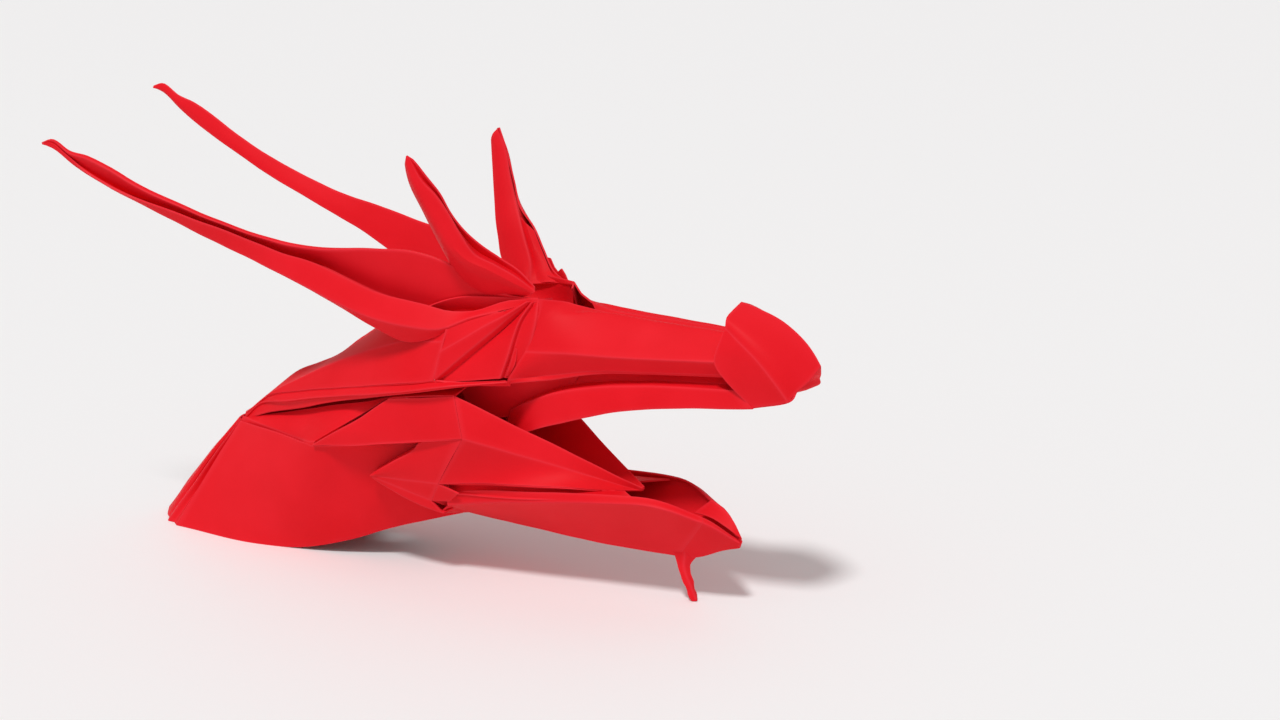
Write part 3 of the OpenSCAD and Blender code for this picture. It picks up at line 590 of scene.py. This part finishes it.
def left_horn(paper):
    """The left horn, folded shut, with its broad face turned up."""
    lip_out = [[0, 0], [0.1, 0.04], [0.2, 0.16], [0.38, 0.2], [0.6, 0.14], [0.9, 0.05], [1, 0]]
    lip_up = [[0, 0], [0.06, 0.02], [0.11, 0.03], [0.16, 0.02], [0.23, 0.06], [0.32, 0.16], [0.38, 0.14],
              [0.45, 0.13], [0.53, 0.1], [0.7, 0.09], [0.8, 0.12], [0.85, 0.16], [0.9, 0.17], [0.94, 0.12],
              [0.978, 0.13], [1, 0.01]]
    back_out = [[0, 0], [0.1, 0.05], [0.2, 0.14], [0.38, 0.15], [0.6, 0.1], [0.9, 0.035], [1, 0]]
    keel_out = [[0, 0], [0.1, 0.12], [0.16, 0.16], [0.25, 0.12], [0.4, 0.06], [0.6, 0.02], [1, 0]]
    size = LEFT_HORN_LEN, LEFT_HORN_RISE
    lip = horn_rail(*size, lip_out, lip_up)
    keel = horn_rail(*size, keel_out, KEEL_UP)
    tuck = mix(lip, keel, 0.55) + v(0, HORN_H, 0) * smooth_table(HORN_SHARES, back_out)[:, None]
    paper.sheet([tuck, lip, blend(lip, keel, 0.5, (0, -0.3, -0.2)), keel,
                 blend(keel, tuck, 0.7, (0, 0.3, 0))],
                smooth=(2,), sides=(1,))


def smooth_table(k, table):
    """Values at the shares k, from pairs of share and value, joined by a smooth curve."""
    table = np.array(table, float)
    x, y = table[:, 0], table[:, 1]
    slope = np.gradient(y, x)
    i = np.clip(np.searchsorted(x, k) - 1, 0, len(x) - 2)
    h = x[i + 1] - x[i]
    t = (k - x[i]) / h
    return ((2 * t**3 - 3 * t**2 + 1) * y[i] + (t**3 - 2 * t**2 + t) * h * slope[i]
            + (3 * t**2 - 2 * t**3) * y[i + 1] + (t**3 - t**2) * h * slope[i + 1])


def saddle(paper):
    """The floor of the head between the horns, which drops into the opening between the knots."""
    n = 24
    low = curve([CREST + v(1, 0, 0.4), mix(CREST, FOREHEAD, 0.5) + v(0, 0, -1.2), FOREHEAD + v(-8, 0, -1.6),
                 FOREHEAD + v(-2, 0, -4)], n)
    high = curve([CREST + v(3, 3, 0.8), v(0, 11.6, 51), v(11, 9.6, 56), KNOT], n)
    k = np.linspace(0, 1, n + 1)[:, None]
    paper.sheet([low, blend(low, high, 0.5, (0, 0.6, -0.4)) + v(0, 3.6, -1.2) * k**3, high], smooth=(1,))


def right_ear(paper):
    """The right ear, open forward, with a skirt that runs down into the root of its horn."""
    n = 44
    rim = through(EAR_TIP + v(-0.8, 0, -0.6), KNOT + v(-0.7, 0.2, 1.3),
                  [[0, 0, 0], [-0.6, 0.6, -0.8], [-0.5, 0.9, -0.8], [-0.8, 1.2, -1.2], [-1.5, 1.4, -1.9],
                   [-1.9, 1.4, -2.4], [-1.1, 0.9, -1.3], [-0.3, 0.5, -0.4], [0, 0, 0]], n)
    swell = through(EAR_TIP + v(-1.2, 0.4, -0.5), KNOT + v(-1, 0.4, 1.1),
                    [[0, 0, 0], [-1.3, 0.9, -1.2], [-2.1, 1.5, -2.1], [-2.6, 2.1, -2.9], [-3.2, 2.5, -3.8],
                     [-2.7, 2.7, -3.7], [-1.5, 2.3, -2.5], [-0.7, 1.3, -1.3], [0, 0, 0]], n)
    back = through(EAR_TIP + v(-1.9, -0.2, -1.4), KNOT + v(-1.9, 0.1, 0.6),
                   [[0, 0, 0], [-1.8, 0.1, -2], [-2.3, 0.3, -3.7], [-3.1, 0, -5.5], [-4.3, -1.2, -7.5],
                    [-5.3, -2.6, -9.3], [-4.4, -3, -9.4], [-2.3, -2, -4.8], [0, 0, 0]], n)
    inner = through(EAR_TIP + v(-0.2, -0.2, -0.5), KNOT + v(-0.8, 0, 2.2),
                    [[0, 0, 0], [-0.3, 0.1, -0.4], [-0.7, 0.1, -0.8], [-1.7, 0, -1.5], [-2, -0.1, -1.8],
                     [-1.7, -0.3, -1.6], [-1.2, -0.6, -0.9], [-0.4, -0.5, -0.1], [0, 0, 0]], n)
    k = np.linspace(0, 1, n + 1)[:, None]
    deep = (rim + inner) / 2 - v(1.5, RIGHT_EAR_DEEP, 0.6) * np.sin(np.pi * k) ** 0.7
    rails = np.array([back, swell, rim, deep, inner])
    tip = EAR_TIP + v(-1.1, 0, -0.3)
    for i, share in enumerate((0, 0.8, 0.96)):
        rails[:, i] = mix(tip, rails[:, i], share)
    paper.sheet(rails, smooth=(1,), sides=(-1,))


def left_ear(paper):
    """The left ear, shut, with the pocket that its turned edge leaves open."""
    n = 36
    rim = through(EAR_TIP + v(0.2, 0.5, 0.1), KNOT + v(-9.6, 0, -1.3),
                  [[0, 0, 0], [0.4, 0.7, -0.1], [0.1, 0.9, -0.3], [0.1, 1.1, -0.5], [0.5, 0.9, -0.3],
                   [0.8, 0.6, -0.2], [1, 0.3, -0.1], [0, 0, 0]], n)
    front = through(EAR_TIP + v(-0.8, 0, -2), KNOT + v(-9.6, 0, -1.3),
                    [[0, 0, 0], [-1.1, 0.2, -0.8], [-2.1, 0.4, -1.5], [-2.8, 0.3, -2.1], [-3.3, 0.2, -2.7],
                     [-3.8, 0.2, -3.3], [-2.5, -0.2, -2.6], [0, 0, 0]], n)
    back = through(EAR_TIP + v(0.7, 0.5, 0.4), KNOT + v(-1.3, 0.5, -0.5),
                   [[0, 0, 0], [-1, 1, -1], [-2.1, 1.6, -2], [-3, 1.8, -2.8], [-2.1, 1.7, -2.3],
                    [-2, 1.5, -2.5],
                    [-1.6, 0.8, -2.2], [0, 0, 0]], n)
    k = np.linspace(0, 1, n + 1)[:, None]
    deep = (rim + back) / 2 + v(-0.45, 0.89, -0.1) * LEFT_EAR_DEEP * np.sin(np.pi * k) ** 0.7
    paper.sheet([front, blend(front, rim, 0.5, (0, -0.5, 0.2)), rim, deep, back], smooth=(1,), sides=(1,))
    turned = curve([EAR_TIP + v(7, -2.5, -15.8), EAR_TIP + v(8.6, -3.6, -19), EAR_TIP + v(10.6, -5, -23.4),
                    KNOT + v(-8, 0.4, -1)], 20)
    side = curve([EAR_TIP + v(10.2, -2.8, -18.4), EAR_TIP + v(12.6, -4.1, -22), EAR_TIP + v(15.8, -6, -25.8),
                  KNOT + v(-3, 0.8, -0.6)], 20)
    paper.sheet([turned, blend(turned, side, 0.5, (0, -0.4, 0.2)), side], smooth=(1,), sides=(1,))


def teeth(paper):
    """The crimped ends of the layers beside the left ear."""
    steps = [0.7, 1, 0.3, 0.1, 1, 0.7, 0]
    n = len(steps) - 1
    root = bow(KNOT + v(-10, 5, 2), KNOT + v(-2.4, 2, -1.4), (0, 0.4, -1), n)
    crown = bow(KNOT + v(-8.8, 5, 2), KNOT + v(-2.2, 2, -1.1), (0, 0.2, 0), n)
    paper.sheet([root, crown + np.array([[0, 0.2, TEETH_H * s] for s in steps])], sides=(1,))


def paper_material():
    """Dyed folding paper: fine fibres, soft mottling, a faint sheen, and creases and sheet edges painted
    paler, partly as the real whitening of folded paper and partly as a painted highlight.
    """
    mat = bpy.data.materials.new("red_paper")
    mat.use_nodes = True
    tree = mat.node_tree
    nodes, links = tree.nodes, tree.links
    shader = nodes["Principled BSDF"]
    shader.inputs["Roughness"].default_value = 0.55
    shader.inputs["Specular IOR Level"].default_value = 0.12
    shader.inputs["Sheen Weight"].default_value = 0.01
    shader.inputs["Sheen Roughness"].default_value = 0.4
    shader.inputs["Sheen Tint"].default_value = (1.0, 0.75, 0.78, 1.0)
    place = nodes.new("ShaderNodeTexCoord")

    cloud = nodes.new("ShaderNodeTexNoise")
    cloud.inputs["Scale"].default_value = 60
    cloud.inputs["Detail"].default_value = 3
    links.new(place.outputs["Object"], cloud.inputs["Vector"])
    shades = nodes.new("ShaderNodeValToRGB")
    shades.color_ramp.elements[0].position = 0.3
    shades.color_ramp.elements[0].color = (0.75, 0.005, 0.012, 1)
    shades.color_ramp.elements[1].position = 0.7
    shades.color_ramp.elements[1].color = (0.82, 0.009, 0.019, 1)
    links.new(cloud.outputs["Fac"], shades.inputs["Fac"])

    fibre = nodes.new("ShaderNodeTexNoise")
    fibre.inputs["Scale"].default_value = 2600
    fibre.inputs["Detail"].default_value = 4
    fibre.inputs["Roughness"].default_value = 0.65
    links.new(place.outputs["Object"], fibre.inputs["Vector"])
    grain = nodes.new("ShaderNodeMixRGB")
    grain.blend_type = "OVERLAY"
    grain.inputs["Fac"].default_value = 0.12
    links.new(shades.outputs["Color"], grain.inputs["Color1"])
    links.new(fibre.outputs["Color"], grain.inputs["Color2"])

    # Folds and sheet edges painted paler and pinker: partly the real whitening of folded paper, partly a
    # painted highlight where the folds catch the light.
    worn_and_shine = nodes.new("ShaderNodeAttribute")
    worn_and_shine.attribute_name = "crease"
    amount = nodes.new("ShaderNodeMath")
    amount.operation = "MULTIPLY"
    amount.inputs[1].default_value = 0.3
    links.new(worn_and_shine.outputs["Fac"], amount.inputs[0])
    pale = nodes.new("ShaderNodeMixRGB")
    pale.inputs["Color2"].default_value = (0.88, 0.06, 0.09, 1)
    links.new(amount.outputs["Value"], pale.inputs["Fac"])
    links.new(grain.outputs["Color"], pale.inputs["Color1"])
    links.new(pale.outputs["Color"], shader.inputs["Base Color"])

    bump = nodes.new("ShaderNodeBump")
    bump.inputs["Strength"].default_value = 0.12
    bump.inputs["Distance"].default_value = 0.0001
    links.new(fibre.outputs["Fac"], bump.inputs["Height"])
    links.new(bump.outputs["Normal"], shader.inputs["Normal"])
    return mat


PAPER = paper_material()
noise.seed_set(WAVE_SEED)

PIECES = {
    "neck_flaps": [neck],
    "neck_roof": [roof],
    "brow_hem": [brow_hem],
    "cheek_fan": [cheek_fan],
    "cheek_panels": [cheek_panels, pocket],
    "mouth_wings": [mouth_wings, lining],
    "snout": [snout],
    "nose": [nose],
    "lower_jaw": [jaw, jaw_crimp],
    "beard": [beard],
    "saddle": [saddle],
    "right_horn": [right_horn],
    "left_horn": [left_horn],
    "right_ear": [right_ear],
    "left_ear": [left_ear, teeth],
}
for name, parts in PIECES.items():
    paper = Paper()
    for part in parts:
        part(paper)
    make_piece(name, paper)


def add_floor():
    """Plain pale floor."""
    mesh = bpy.data.meshes.new("floor")
    r = FLOOR_HALF
    mesh.from_pydata([(-r, -r, 0), (r, -r, 0), (r, r, 0), (-r, r, 0)], [], [(0, 1, 2, 3)])
    floor = bpy.data.objects.new("floor", mesh)
    bpy.context.scene.collection.objects.link(floor)
    mat = bpy.data.materials.new("pale_floor")
    mat.use_nodes = True
    shader = mat.node_tree.nodes["Principled BSDF"]
    shader.inputs["Base Color"].default_value = (0.915, 0.91, 0.912, 1)
    shader.inputs["Roughness"].default_value = 0.6
    shader.inputs["Specular IOR Level"].default_value = 0.2
    mesh.materials.append(mat)


def add_light():
    """Soft light from above and in front, with an even fill all round."""
    world = bpy.data.worlds.new("studio")
    bpy.context.scene.world = world
    world.use_nodes = True
    sky = world.node_tree.nodes["Background"]
    sky.inputs["Color"].default_value = (1, 0.985, 0.98, 1)
    sky.inputs["Strength"].default_value = FILL
    lamp = bpy.data.lights.new("overhead", "SUN")
    lamp.energy = KEY
    lamp.angle = math.radians(KEY_SIZE)
    sun = bpy.data.objects.new("overhead", lamp)
    sun.rotation_euler = Vector(KEY_FROM).to_track_quat("Z", "Y").to_euler()
    bpy.context.scene.collection.objects.link(sun)
    bpy.context.scene.view_settings.view_transform = "Standard"


def add_camera():
    """Camera at the photograph's viewing angle."""
    azimuth, elevation = math.radians(VIEW_AZIMUTH), math.radians(VIEW_ELEVATION)
    aim = Vector(VIEW_AIM) * MM
    back = Vector((math.sin(azimuth) * math.cos(elevation), -math.cos(azimuth) * math.cos(elevation),
                   math.sin(elevation)))
    data = bpy.data.cameras.new("camera")
    data.sensor_width = FILM_WIDTH
    data.lens = LENS
    data.clip_start = 0.01
    cam = bpy.data.objects.new("camera", data)
    cam.location = aim + back * VIEW_DISTANCE * MM
    cam.rotation_euler = back.to_track_quat("Z", "Y").to_euler()
    bpy.context.scene.collection.objects.link(cam)
    bpy.context.scene.camera = cam


add_floor()
add_light()
add_camera()
